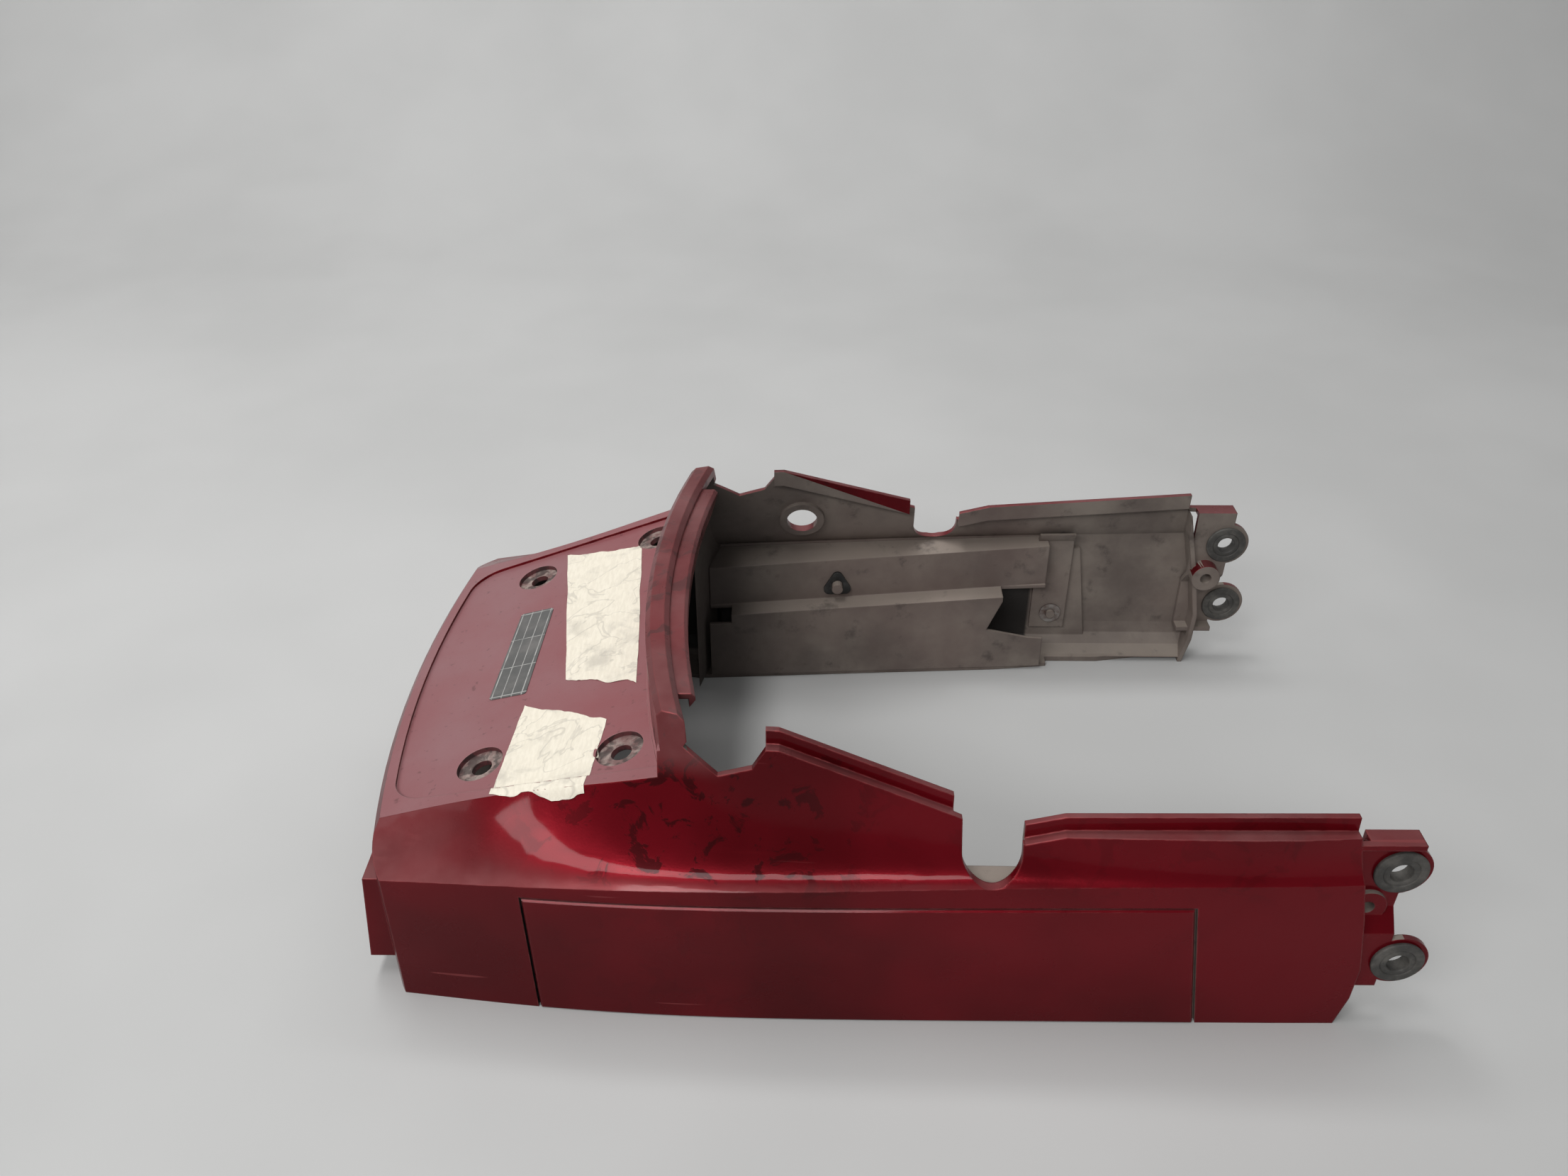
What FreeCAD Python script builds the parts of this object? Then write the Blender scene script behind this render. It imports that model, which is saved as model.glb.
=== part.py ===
import FreeCAD, Part
import math
import os

# Rear fairing of a motorcycle: a one-piece moulded tail cowl with two arms, two outer side panels,
# two inner channels that close the arms, four rubber grommets, push-on retainers and two tape patches.
# Frame: +X to the front of the machine, +Y to its left, +Z up, the bottom edges stand on Z = 0.
# Distances named "along" are measured forward from the rearmost point of the tail.

V = FreeCAD.Vector

# Main sizes
overall_length = 509.0
wall = 3.0
reach = 400.0
below = -20.0
above = 300.0
skirt = -5.0
sliver = 1.0
tail_half = 137.0
front_half = 155.5

# Side surface of the cowl: at each station along the length, the upper guide point of the slope,
# the foot of the slope, the crease and the bottom edge, each as half-width and height.
stations = [
    # along, (slope guide), (slope foot), (crease), bottom half-width
    (-14.0, (103.5, 80.5), (121.5, 76.8), (tail_half, 74.5), tail_half),
    (70.0, (112.6, 104.7), (132.5, 87.0), (147.5, 81.5), 147.5),
    (153.0, (126.0, 129.5), (140.5, 91.0), (154.0, 85.0), 154.0),
    (203.0, (128.0, 146.0), (142.5, 93.0), (155.5, 86.5), 155.5),
    (283.0, (139.5, 119.0), (144.5, 96.0), (156.0, 89.5), 156.0),
    (370.0, (147.0, 117.0), (147.2, 99.5), (156.0, 91.5), 156.0),
    (490.0, (147.5, 122.0), (147.6, 102.5), (front_half, 95.0), front_half),
]
slope_top = 170.0
slope_least = 40.0
fillet_pull = 0.80

# Rear end in plan
bow_depth = 12.0
bow_half = 118.0
corner_depth = 30.0
corner_half = 152.0
corner_turn = 0.42
rear_edge_break = 3.0

# Deck
deck_rear_height = 84.6
deck_pitch = 16.4
rim_width = 4.0
rim_step = 1.8
deck_rear_half = 103.0
deck_front_half = 118.5
deck_corner = 17.0
deck_rear_inset = 4.0
hole_radius = 5.2
pocket_radius = 12.0
pocket_depth = 4.5
pocket_floor = 3.0
drill = 20.0
rear_hole_along = 57.0
rear_hole_half = 84.5
front_hole_along = 128.5
front_hole_half = 97.0

# Seat back: an upright ridge across the front of the deck, with a lower lip on its forward side
crest_height = 158.0
lip_height = 153.5
lip_drop = 8.0
lip_half = 97.0
back_rear_mid = 136.0
back_rear_end = 165.0
crest_front_mid = 148.0
crest_front_end = 177.0
lip_front_mid = 157.0
lip_front_end = 184.0
back_half = 165.0
back_overlap = 4.0
crest_break = 2.6
lip_break = 1.8

# Top edges of the arms in side view
rear_flange_start = 199.0
rear_flange_peak = 205.0
rear_flange_end = 283.0
rear_flange_high = 146.0
rear_flange_low = 119.6
notch_top = (166.5, 150.3)
notch_edge = [(162.0, 144.0), (177.5, 132.6), (193.0, 137.0), (rear_flange_start, rear_flange_high)]
notch_front = 174.0
arm_root = 150.0
arm_root_height = 140.0
front_flange_start = 315.0
front_flange_ramp = 333.0
front_flange_end = 460.0
front_flange_low = 107.4
front_flange_mid = 112.0
front_flange_high = 118.0
cup_centre = 300.5
cup_radius = 13.5
cup_height = 103.0
front_edge = [(front_flange_end, front_flange_high), (464.5, 98.0), (471.0, 70.0), (477.0, 38.0),
              (476.5, 18.0), (472.5, 0.0)]

# Seat flange on the arms: a ledge that runs inward and a lip that stands on its inner edge
ledge_depth = 8.0
lip_stand = 7.0
lip_lean = 0.6

# Bottom lip, inner edge in plan
bottom_lip = 2.6
lip_fillet = 20.0
fillet_steps = 4
lip_edge = [(45.0, 132.0), (150.0, 117.0), (249.0, 123.0), (344.0, 128.0), (393.0, 134.0), (470.0, 148.0)]

# Mouth between the arms
mouth_half = 138.0
mouth_start = 380.0
sill_start = 469.0
sill_height = 40.0

# Tail lamp opening and its surround
lamp_half = 131.0
lamp_low = 15.0
lamp_high = 68.0
lamp_rear_top = 7.0
lamp_rear_low = 2.0
lamp_front = 34.0
lamp_wall = 3.0

# Side panel in a recess of the outer wall
panel_thick = 2.6
panel_proud = 0.6
panel_gap = 1.1
panel_rear_top = (85.5, 75.5)
panel_rear_low = (87.5, 0.0)
panel_front_top = (394.0, 78.5)
panel_front_low = (409.0, 0.0)
panel_lift = 0.8
panel_break = 0.8

# Lock hole in the left arm
lock_along = 216.0
lock_height = 111.5
lock_radius = 9.6
lock_boss_radius = 14.0
lock_boss_depth = 3.0

# Front tabs: stepped plates that carry the grommets
tab_thick = 3.0
tab_step = 8.0
tab_lower_half = front_half - 5.0
tab_upper_half = tab_lower_half - tab_step
tab_root = 466.0
tab_top = 112.0
tab_flange = 9.0
tab_step_high = 68.0
tab_step_low = 58.0
tab_bottom = 24.5
upper_eye = (486.5, 91.0)
lower_eye = (494.5, 40.5)
eye_radius = 14.5
eye_hole = 8.5
tab_toe = 488.5
tab_waist = 489.0
tab_flange_front = 490.0
tab_boss = (475.5, 70.0)
tab_boss_radius = 9.0
tab_boss_hole = 3.5
tab_boss_stand = 10.0
tab_boss_root = 4.0

# Grommets
grommet_radius = 12.4
grommet_bore = 5.2
grommet_flange = 2.0

# Inner channel, as a bent plate whose section runs forward, outward and up
channel_thick = 2.2
channel_along = 174.0
channel_flare = 0.058
channel_rise = 0.045
channel_section = [(118.5, -20.0), (118.5, 49.5), (130.5, 50.5), (130.5, 78.5), (175.0, 82.5)]
channel_start = 157.0
channel_end = 375.0
channel_slot_end = 171.0
channel_cap = (60.0, 87.0)
foot_notch = [(346.0, 63.5), (346.0, 55.0), (337.0, 33.0), (364.0, 26.0), (390.0, 23.0), (390.0, 63.5)]
foot_notch_half = 139.2
slot_low = 44.0
slot_high = 54.0
slot_half = 128.0
end_plate = (369.0, 392.0, 21.0, 95.0)

# Posts moulded on the cowl, with their push-on retainers
post_along = 239.0
post_height = 64.5
post_radius = 3.5
post_stand = 5.0
clip_radius = 9.5
clip_corner = 3.5
clip_thick = 2.0
stud_along = 382.0
stud_height = 33.0
stud_radius = 3.0
stud_stand = 3.2
washer_radius = 7.0
washer_thick = 1.2
clip_play = 0.15

# Tape patches on the deck, corners as distance along and half-width to the left
tape_thick = 0.4
centre_tape = [(73.0, 101.0), (120.0, 91.0), (131.5, -47.0), (92.0, -30.0)]
side_tape = [(72.5, -43.0), (119.5, -72.0), (113.0, -150.0), (66.0, -150.0)]
tape_hem_rear = 66.0
tape_hem_turn = 87.0
tape_hem_front = 121.0
tape_hem = 8.0


def fore(along):
    """Turn a distance from the rear end into X."""
    return along - overall_length / 2


def inset_line(points, inset):
    """Offset an open run of points to its right-hand side, with mitred corners."""
    moved = []
    count = len(points)
    for i in range(count):
        normals = []
        for a, b in ((i - 1, i), (i, i + 1)):
            if a < 0 or b >= count:
                continue
            dy = points[b][0] - points[a][0]
            dz = points[b][1] - points[a][1]
            size = math.hypot(dy, dz)
            normals.append((dz / size, -dy / size))
        ny = sum(n[0] for n in normals) / len(normals)
        nz = sum(n[1] for n in normals) / len(normals)
        scale = inset / (ny * ny + nz * nz)
        moved.append((points[i][0] + ny * scale, points[i][1] + nz * scale))
    return moved


def line(a, b):
    return Part.LineSegment(a, b).toShape()


def side_prism(points, half=reach, start=None):
    """Extrude an outline in side view, given as (along, height), across the width."""
    first = -half if start is None else start
    corners = [V(fore(u), first, z) for u, z in points]
    face = Part.Face(Part.makePolygon(corners + corners[:1]))
    return face.extrude(V(0, half - first, 0))


def plan_prism(edges, low, high):
    """Extrude a closed outline in plan between two heights."""
    face = Part.Face(Part.Wire(edges))
    prism = face.extrude(V(0, 0, high - low))
    prism.translate(V(0, 0, low))
    return prism


def plan_polygon(points, low, high):
    corners = [V(fore(u), y, 0) for u, y in points]
    return plan_prism(Part.makePolygon(corners + corners[:1]).Edges, low, high)


def mirror_left(shape):
    """Give the copy on the other side of the middle plane."""
    return shape.mirror(V(0, 0, 0), V(0, 1, 0))


def deck_height(along):
    return deck_rear_height + math.tan(math.radians(deck_pitch)) * along


def body_section(station, inset, floor):
    """Give the closed outline of the body at one station, inset from the outer surface."""
    along, guide, foot, crease, bottom = station
    share = (slope_top - foot[1]) / (guide[1] - foot[1])
    top = (foot[0] + (guide[0] - foot[0]) * share, slope_top)
    if top[0] < slope_least:
        share = (foot[0] - slope_least) / (foot[0] - guide[0])
        top = (slope_least, foot[1] + (guide[1] - foot[1]) * share)
    run = [top, foot, crease, (bottom, below)]
    top, foot, crease, bottom_point = inset_line(run, inset)
    x = fore(along)

    def side(sign):
        def p(y, z):
            return V(x, sign * y, z)
        one = (top[0] + (foot[0] - top[0]) * fillet_pull, top[1] + (foot[1] - top[1]) * fillet_pull)
        two = (crease[0] + (foot[0] - crease[0]) * fillet_pull,
               crease[1] + (foot[1] - crease[1]) * fillet_pull)
        curve = Part.BezierCurve()
        curve.setPoles([p(*top), p(*one), p(*two), p(*crease)])
        edges = [curve.toShape()]
        low = bottom_point[0]
        if floor > 0:
            turn = lip_fillet
            bend = [crease]
            for step in range(fillet_steps + 1):
                angle = math.pi / 2 * step / fillet_steps
                bend.append((low - turn * (1 - math.cos(angle)), floor + turn * (1 - math.sin(angle))))
            for a, b in zip(bend, bend[1:]):
                edges.append(line(p(*a), p(*b)))
            return edges, p(*bend[-1]), p(*top)
        edges.append(line(p(*crease), p(low, floor)))
        return edges, p(low, floor), p(*top)

    right, right_low, right_top = side(-1)
    left, left_low, left_top = side(1)
    edges = right + [line(right_low, left_low)] + left + [line(left_top, right_top)]
    return Part.Wire(Part.sortEdges(edges)[0])


def body(inset, floor=skirt):
    """Loft the whole side surface as a solid, inset from the outer surface."""
    return Part.makeLoft([body_section(s, inset, floor) for s in stations], True, False)


def rear_bow(inset):
    """Plan outline of everything forward of the bowed rear end."""
    a = V(fore(bow_depth + inset), -bow_half + inset * 0.2, 0)
    b = V(fore(inset), 0, 0)
    c = V(fore(bow_depth + inset), bow_half - inset * 0.2, 0)
    d = V(fore(corner_depth + inset), corner_half, 0)
    e = V(fore(corner_depth + inset), -corner_half, 0)
    middle_d = V(c.x + (d.x - c.x) * corner_turn, c.y + (d.y - c.y) * (1 - corner_turn * 0.75), 0)
    middle_e = V(middle_d.x, -middle_d.y, 0)
    far_left = V(reach, corner_half, 0)
    far_right = V(reach, -corner_half, 0)
    edges = [
        Part.Arc(a, b, c).toShape(),
        Part.Arc(c, middle_d, d).toShape(),
        line(d, V(d.x, reach, 0)),
        line(V(d.x, reach, 0), V(far_left.x, reach, 0)),
        line(V(far_left.x, reach, 0), V(far_right.x, -reach, 0)),
        line(V(far_right.x, -reach, 0), V(e.x, -reach, 0)),
        line(V(e.x, -reach, 0), e),
        Part.Arc(e, middle_e, a).toShape(),
    ]
    return plan_prism(edges, -reach, reach)


def across_arc(mid, end, shift=0.0):
    """Arc across the width in plan, from right to left, through its middle point."""
    right = V(fore(end + shift), -back_half, 0)
    middle = V(fore(mid + shift), 0, 0)
    left = V(fore(end + shift), back_half, 0)
    return Part.Arc(right, middle, left).toShape(), right, left


def back_prism(rear, front, high, low=0.0):
    """Upright prism between two arcs across the width."""
    rear_edge, rear_right, rear_left = across_arc(*rear)
    front_edge, front_right, front_left = across_arc(*front)
    edges = [rear_edge, line(rear_left, front_left), front_edge, line(front_right, rear_right)]
    return plan_prism(Part.sortEdges(edges)[0], low, high)


def fuse(shapes):
    joined = shapes[0].fuse(shapes[1:]) if len(shapes) > 1 else shapes[0]
    return joined.removeSplitter()


def one_solid(shape):
    """Keep the largest solid of a result."""
    return max(shape.Solids, key=lambda s: s.Volume)


# Outer and inner envelopes of the cowl
def deck_prism(drop, front, low):
    """Everything under the deck plane lowered by a drop, back from a front limit."""
    fall = drop / math.cos(math.radians(deck_pitch))
    return side_prism([
        (below, low), (front, low), (front, deck_height(front) - fall), (below, deck_height(below) - fall),
    ])


def broken(prism, size, wanted):
    """Break those edges of a simple prism whose middle point is wanted."""
    chosen = []
    for edge in prism.Edges:
        middle = edge.valueAt((edge.FirstParameter + edge.LastParameter) / 2)
        if wanted(middle):
            chosen.append(edge)
    return prism.makeChamfer(size, chosen)


arm_outline = (
    [(arm_root, 0.0), (arm_root, arm_root_height)]
    + notch_edge
    + [(rear_flange_peak, rear_flange_high), (rear_flange_end, rear_flange_low)]
    + [(front_flange_start, front_flange_low), (front_flange_ramp, front_flange_mid)]
    + front_edge
)


def cowl_outer():
    """Outer form: tail block, seat back and arms, all trimmed to the side surface."""
    crest = back_prism((back_rear_mid, back_rear_end), (crest_front_mid, crest_front_end), crest_height)
    crest = broken(crest, crest_break, lambda m: m.z > crest_height - 0.1 and abs(m.y) < sliver)
    lip_rear = (back_rear_mid, back_rear_end, back_overlap)
    lip = back_prism(lip_rear, (lip_front_mid, lip_front_end), lip_height)

    def on_lip_front(m):
        return m.z > lip_height - 0.1 and abs(m.y) < sliver and m.x > fore(lip_front_mid) - sliver
    lip = broken(lip, lip_break, on_lip_front)
    lip = lip.common(side_prism([(0.0, 0.0), (reach, 0.0), (reach, above), (0.0, above)], lip_half))
    tail = deck_prism(0.0, arm_root, 0.0).common(rear_bow(0.0))

    def on_rear_edge(m):
        height = deck_height(m.x + overall_length / 2)
        return abs(m.z - height) < 0.1 and m.x < fore(corner_depth) and abs(m.y) < corner_half
    tail = broken(tail, rear_edge_break, on_rear_edge)
    return body(0.0).common(fuse([tail, crest, lip, side_prism(arm_outline)]))


def cowl_inner():
    """Hollow inside the walls, open at the front between the arms."""
    rear = (back_rear_mid, back_rear_end, wall)
    crest = back_prism(rear, (crest_front_mid, crest_front_end, -wall), crest_height - wall, below)
    lip = back_prism(rear, (lip_front_mid, lip_front_end, -wall), lip_height - wall, below)
    low = back_prism(rear, (lip_front_mid, lip_front_end, 10 * back_overlap), lip_height - lip_drop, below)
    ahead = back_prism((lip_front_mid, lip_front_end), (lip_front_mid, lip_front_end, reach), above, below)
    front = [(u - wall, z) for u, z in front_edge]
    ends = side_prism([(below, below), (front[-1][0], below), (front[-1][0], 0.0)]
                      + front[-2:0:-1] + [(front[0][0], above), (below, above)])
    cover = fuse([deck_prism(wall + rim_step, arm_root, below), crest, lip, low, ahead]).common(ends)
    return body(wall, bottom_lip).common(rear_bow(wall)).common(cover)


def seat_flange(points, lean):
    """Ledge and lip along the top edge of an arm, on the left side.

    Each point gives the distance along, the half-width of the wall's outer face and its height."""
    wires = []
    for along, half, height in points:
        outer = half - wall * 0.4
        inner = half - ledge_depth
        shape = [
            (outer, height), (inner + wall, height), (inner + wall - lean, height + lip_stand),
            (inner - lean, height + lip_stand), (inner, height - wall), (outer, height - wall),
        ]
        corners = [V(fore(along), y, z) for y, z in shape]
        wires.append(Part.makePolygon(corners + corners[:1]))
    return Part.makeLoft(wires, True, True)


def wall_half(along, height):
    """Half-width of the outer surface at a place in side view."""
    probe = Part.makeLine(V(fore(along), 0, height), V(fore(along), reach, height))
    cut = probe.common(outer_body)
    return max(v.Y for v in cut.Vertexes)


outer_body = body(0.0)
cowl = cowl_outer().cut(cowl_inner())

# Space between the arms, open at the front
def mouth_box(start, high):
    """Clear space between the front ends of the arms, from a start to past the front."""
    far = 2 * reach
    corners = [(start, -mouth_half), (far, -mouth_half), (far, mouth_half), (start, mouth_half)]
    return plan_polygon(corners, below, high)


well_points = lip_edge + [(u, -y) for u, y in reversed(lip_edge)]
well = plan_polygon(well_points, below, bottom_lip + sliver)
cowl = cowl.cut(fuse([mouth_box(mouth_start, above), well, mouth_box(sill_start, sill_height)]))

# Notch behind each rear flange and round cup between the two flanges
notch = side_prism([notch_top] + notch_edge + [(rear_flange_start, above), (notch_front, above),
                                               (notch_front, notch_top[1])])
cup_floor = Part.makeCylinder(cup_radius, 2 * reach, V(fore(cup_centre), -reach, cup_height), V(0, 1, 0))
cup_sides = side_prism([
    (cup_centre - cup_radius, cup_height), (cup_centre + cup_radius, cup_height),
    (front_flange_start, above), (rear_flange_end, above),
])
cowl = cowl.cut(fuse([cup_floor, cup_sides]))
cowl = cowl.cut(notch)

# Seat flanges
rear_run = [(rear_flange_start, rear_flange_high), (rear_flange_peak, rear_flange_high),
            (rear_flange_end, rear_flange_low)]
front_run = [(front_flange_start, front_flange_low), (front_flange_ramp, front_flange_mid),
             (front_flange_end, front_flange_high)]
flanges = []
for run in (rear_run, front_run):
    flanges.append(seat_flange([(u, wall_half(u, z - 0.5), z) for u, z in run], lip_lean))
flanges += [mirror_left(f) for f in flanges]
cowl = cowl.fuse(flanges)

# Deck floor recessed inside its rim, with four counterbored holes
deck_normal = V(-math.sin(math.radians(deck_pitch)), 0, math.cos(math.radians(deck_pitch)))


def deck_point(along, half, lift=0.0):
    """Point on the deck surface, or above it along its normal."""
    return V(fore(along), half, deck_height(along)) + deck_normal * lift


def back_arc(half):
    """Distance along at which the rear face of the seat back stands at a half-width."""
    depth = back_rear_end - back_rear_mid
    radius = (back_half ** 2 + depth ** 2) / (2 * depth)
    return back_rear_mid + radius - math.sqrt(radius ** 2 - half ** 2)


def deck_slab(low, high):
    """Region between two levels measured from the deck surface along its normal."""
    box = Part.makeBox(2 * reach, 2 * reach, high - low, V(-reach, -reach, 0))
    box.rotate(V(0, 0, 0), V(0, 1, 0), -deck_pitch)
    box.translate(deck_point(0, 0, low))
    return box


def deck_outline():
    """Plan outline of the recessed floor, as edges at Z = 0."""
    rear = deck_rear_inset + rim_width
    turn = rear + deck_corner * 0.4
    corner = V(fore(turn), deck_rear_half - deck_corner, 0)
    corner_mid = V(fore(turn + deck_corner * 0.32), deck_rear_half - deck_corner * 0.36, 0)
    corner_end = V(fore(turn + deck_corner), deck_rear_half, 0)
    front = V(fore(back_arc(deck_front_half) - sliver), deck_front_half, 0)
    other = [V(p.x, -p.y, 0) for p in (corner, corner_mid, corner_end, front)]
    return [
        Part.Arc(other[0], V(fore(rear), 0, 0), corner).toShape(),
        Part.Arc(corner, corner_mid, corner_end).toShape(),
        line(corner_end, front),
        Part.Arc(front, V(fore(back_rear_mid - sliver), 0, 0), other[3]).toShape(),
        line(other[3], other[2]),
        Part.Arc(other[2], other[1], other[0]).toShape(),
    ]


floor_region = plan_prism(deck_outline(), -reach, reach)
cowl = cowl.cut(floor_region.common(deck_slab(-rim_step, sliver)))
hole_places = []
for along, half in ((rear_hole_along, rear_hole_half), (front_hole_along, front_hole_half)):
    hole_places += [(along, half), (along, -half)]
for along, half in hole_places:
    base = deck_point(along, half, -pocket_depth - pocket_floor)
    cup = Part.makeCylinder(pocket_radius + wall, pocket_depth + pocket_floor - wall, base, deck_normal)
    cowl = cowl.fuse(cup.common(outer_body))
for along, half in hole_places:
    seat = deck_point(along, half, -pocket_depth)
    cowl = cowl.cut(Part.makeCylinder(pocket_radius, drill, seat, deck_normal))
    cowl = cowl.cut(Part.makeCylinder(hole_radius, 2 * drill, deck_point(along, half, -drill), deck_normal))

# Tail lamp surround
surround = side_prism([
    (lamp_rear_top, lamp_high), (lamp_rear_low, lamp_low), (lamp_front, lamp_low), (lamp_front, lamp_high),
], lamp_half)
opening = side_prism([
    (below, lamp_high - lamp_wall), (below, lamp_low + lamp_wall),
    (lamp_front + sliver, lamp_low + lamp_wall), (lamp_front + sliver, lamp_high - lamp_wall),
], lamp_half - lamp_wall)
cowl = cowl.fuse(surround).cut(opening)

# Recess for each side panel, and the panel in it
def grown_panel(grow):
    """Panel region on the left side, grown past its outline, open at the bottom."""
    return side_prism([
        (panel_rear_top[0] - grow, panel_rear_top[1] + grow),
        (panel_front_top[0] + grow, panel_front_top[1] + grow),
        (panel_front_low[0] + grow, below),
        (panel_rear_low[0] - grow, below),
    ], reach, wall)


def over(low):
    """Everything above a level."""
    return side_prism([(0.0, low), (overall_length, low), (overall_length, above), (0.0, above)])


seat_body = body(panel_thick)
recess = grown_panel(0.0).cut(seat_body)
backing = seat_body.cut(body(panel_thick + wall)).common(grown_panel(wall))
backing = backing.common(over(0.0))
panel = body(-panel_proud).cut(seat_body).common(grown_panel(-panel_gap))
panel = one_solid(panel.common(over(panel_lift)))


def on_panel_rim(m):
    """Tell whether a point lies on the outer rim of the panel, apart from its bottom."""
    if m.z < panel_lift + sliver:
        return False
    return m.y > wall_half(m.x + overall_length / 2, m.z) + panel_proud - 0.5


panel = broken(panel, panel_break, on_panel_rim)
cowl = cowl.cut(recess).cut(mirror_left(recess))
cowl = cowl.fuse([backing, mirror_left(backing)])

# Lock hole with its boss, on the left arm only
inner_body = body(wall)
lock_axis = V(0, 1, 0)
lock_start = V(fore(lock_along), 0, lock_height)
lock_boss = Part.makeCylinder(lock_boss_radius, reach, lock_start, lock_axis)
lock_boss = lock_boss.common(inner_body.cut(body(wall + lock_boss_depth)))
cowl = cowl.fuse(lock_boss).cut(Part.makeCylinder(lock_radius, reach, lock_start, lock_axis))

# Front tabs
def ribbon(points, thick):
    """Closed outline of a bent plate, centred on a run of points."""
    return inset_line(points, thick / 2) + list(reversed(inset_line(points, -thick / 2)))


tab_run = [
    (tab_upper_half + tab_flange, tab_top), (tab_upper_half, tab_top), (tab_upper_half, tab_step_high),
    (tab_lower_half, tab_step_low), (tab_lower_half, tab_bottom), (tab_lower_half - tab_flange, tab_bottom),
]
tab_corners = [V(fore(front_flange_end), y, z) for y, z in ribbon(tab_run, tab_thick)]
tab_plate = Part.Face(Part.makePolygon(tab_corners + tab_corners[:1])).extrude(V(reach, 0, 0))


def eye(place, radius):
    """Cylinder across the width at an eye of the tab."""
    return Part.makeCylinder(radius, reach, V(fore(place[0]), 0, place[1]), V(0, 1, 0))


tab_shape = fuse([
    side_prism([(front_flange_end, tab_bottom - tab_thick), (tab_toe, tab_bottom - tab_thick),
                (tab_waist, tab_step_high), (tab_flange_front, tab_top + tab_thick),
                (front_flange_end, tab_top + tab_thick)], reach, wall),
    eye(upper_eye, eye_radius),
    eye(lower_eye, eye_radius),
])
tab = tab_plate.common(tab_shape)
boss_base = V(fore(tab_boss[0]), tab_upper_half - tab_boss_stand, tab_boss[1])
tab_post = Part.makeCylinder(tab_boss_radius, tab_boss_stand + tab_boss_root, boss_base, V(0, 1, 0))
tab = tab.fuse(tab_post).cut(eye(upper_eye, eye_hole)).cut(eye(lower_eye, eye_hole))
front_skin = plan_polygon([(0.0, 0.0), (tab_root, 0.0), (tab_root, reach), (0.0, reach)], below, above)
tab = tab.cut(front_skin.common(inner_body))
cowl = cowl.fuse([tab, mirror_left(tab)])
boss_bore = Part.makeCylinder(tab_boss_hole, tab_boss_stand + tab_boss_root, boss_base, V(0, 1, 0))
cowl = cowl.cut([boss_bore, mirror_left(boss_bore)])


def grommet(place, half):
    """Flanged rubber ring, turned about its own axis."""
    edge = tab_thick / 2
    rim = edge + grommet_flange
    run = [(grommet_bore, -rim), (grommet_radius, -rim), (grommet_radius, -edge), (eye_hole, -edge),
           (eye_hole, edge), (grommet_radius, edge), (grommet_radius, rim), (grommet_bore, rim)]
    corners = [V(r, y, 0) for r, y in run]
    ring = Part.Face(Part.makePolygon(corners + corners[:1])).revolve(V(0, 0, 0), V(0, 1, 0), 360)
    ring.translate(V(fore(place[0]), half, place[1]))
    return ring


rings = [grommet(upper_eye, tab_upper_half), grommet(lower_eye, tab_lower_half)]

# Inner channel on the left side
drift = V(1.0, channel_flare, channel_rise)
start_shift = channel_start - channel_along
channel_corners = [
    V(fore(channel_start), y + channel_flare * start_shift, z + channel_rise * start_shift)
    for y, z in ribbon(channel_section, channel_thick)
]
channel = Part.Face(Part.makePolygon(channel_corners + channel_corners[:1]))
channel = channel.extrude(drift * (channel_end - channel_start))
channel = channel.cut(side_prism(foot_notch, foot_notch_half, wall))
slot = [(0.0, slot_low), (channel_slot_end, slot_low), (channel_slot_end, slot_high), (0.0, slot_high)]
channel = channel.cut(side_prism(slot, slot_half, wall))
face_half = channel_section[2][0]
end_half = face_half + channel_flare * (channel_end - channel_along)
cap_low, cap_high = channel_cap
cap = side_prism([(channel_end - channel_thick, cap_low), (channel_end, cap_low),
                  (channel_end, cap_high), (channel_end - channel_thick, cap_high)],
                 reach, end_half - channel_thick / 2)
plate_u0, plate_u1, plate_z0, plate_z1 = end_plate
pad = side_prism([(plate_u0, plate_z0), (plate_u1, plate_z0), (plate_u1, plate_z1), (plate_u0, plate_z1)],
                 reach, wall)
pad_seat = panel_thick + wall
pad = pad.common(body(pad_seat).cut(body(pad_seat + channel_thick)))
channel = fuse([channel.common(inner_body), cap.common(inner_body), pad])
channel = channel.common(over(bottom_lip))

# Posts on the cowl that carry the channel
post_half = face_half + channel_flare * (post_along - channel_along)
post_tip = post_half - channel_thick / 2 - clip_thick - post_stand
post = Part.makeCylinder(post_radius, reach, V(fore(post_along), post_tip, post_height), V(0, 1, 0))
post_root = body(panel_thick + wall / 2)
post = post.common(post_root)
stud_half = wall_half(stud_along, stud_height) - pad_seat - channel_thick
stud_tip = stud_half - stud_stand
stud = Part.makeCylinder(stud_radius, reach, V(fore(stud_along), stud_tip, stud_height), V(0, 1, 0))
stud = stud.common(post_root)
posts = [post, stud]
cowl = cowl.fuse(posts + [mirror_left(p) for p in posts])
cowl = one_solid(cowl.removeSplitter())
channel = one_solid(channel.cut(cowl))

# Retainers pushed over the posts
def rounded_clip():
    """Three-cornered push-on retainer, lying in the XZ plane with its bore on the Y axis."""
    lobe = clip_radius - clip_corner
    corners = []
    for step in range(3):
        angle = math.radians(90 + 120 * step)
        corners.append(V(lobe * math.cos(angle), 0, lobe * math.sin(angle)))
    outline = Part.makePolygon(corners + corners[:1]).makeOffset2D(clip_corner)
    plate = Part.Face(outline).extrude(V(0, clip_thick, 0))
    return plate.cut(Part.makeCylinder(post_radius + clip_play, clip_thick, V(0, 0, 0), V(0, 1, 0)))


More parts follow.
